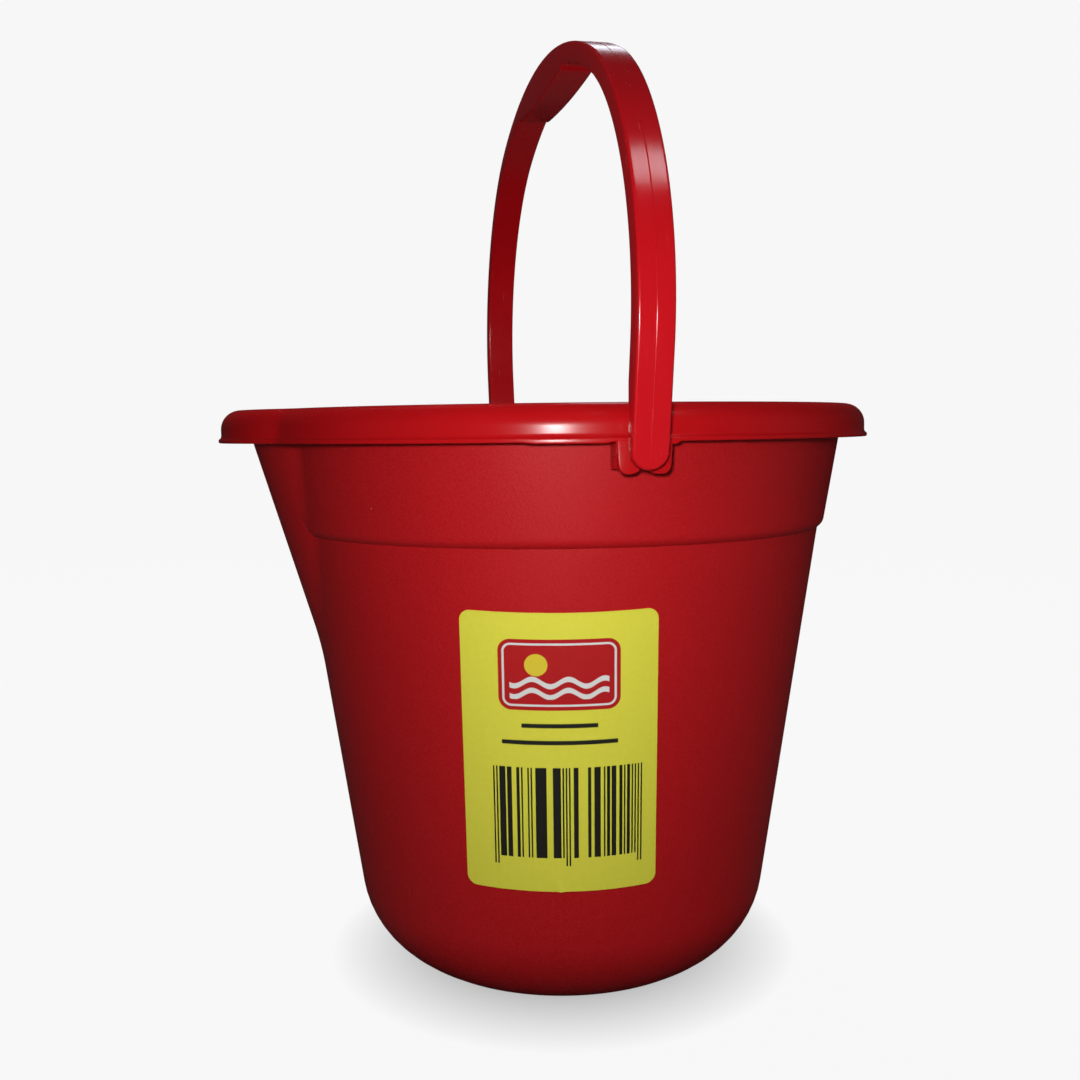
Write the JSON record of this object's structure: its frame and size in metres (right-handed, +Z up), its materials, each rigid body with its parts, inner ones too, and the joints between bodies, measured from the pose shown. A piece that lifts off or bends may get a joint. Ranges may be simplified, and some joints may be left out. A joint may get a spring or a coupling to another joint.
{
  "type": "sand bucket",
  "caption": "Small tapered plastic bucket with a rolled rim, a pouring spout, snap-in bail handle with palm grip, and a wall label.",
  "frame": {"origin": "centre of the flat base, on the ground", "axes": "+Z up through the bucket's axis, spout towards -X, handle pivots on the Y axis"},
  "size_m": [0.151, 0.1586, 0.2115],
  "materials": {
    "body_plastic": "fine spark-eroded grain on the wall, polished rim",
    "handle_plastic": "smooth and glossy",
    "label_film": "printed self-adhesive film with a soft sheen"
  },
  "bodies": {
    "bucket": {"bucket_body": "body_plastic", "label": "label_film"},
    "handle": {"bail_handle": "handle_plastic"}
  },
  "joints": [
    {"name": "handle_swing", "type": "hinge", "parent": "bucket", "child": "handle", "pos_m": [0, 0, 0.1225], "axis": [0, 1, 0], "range_deg": [-133, 133]}
  ]
}
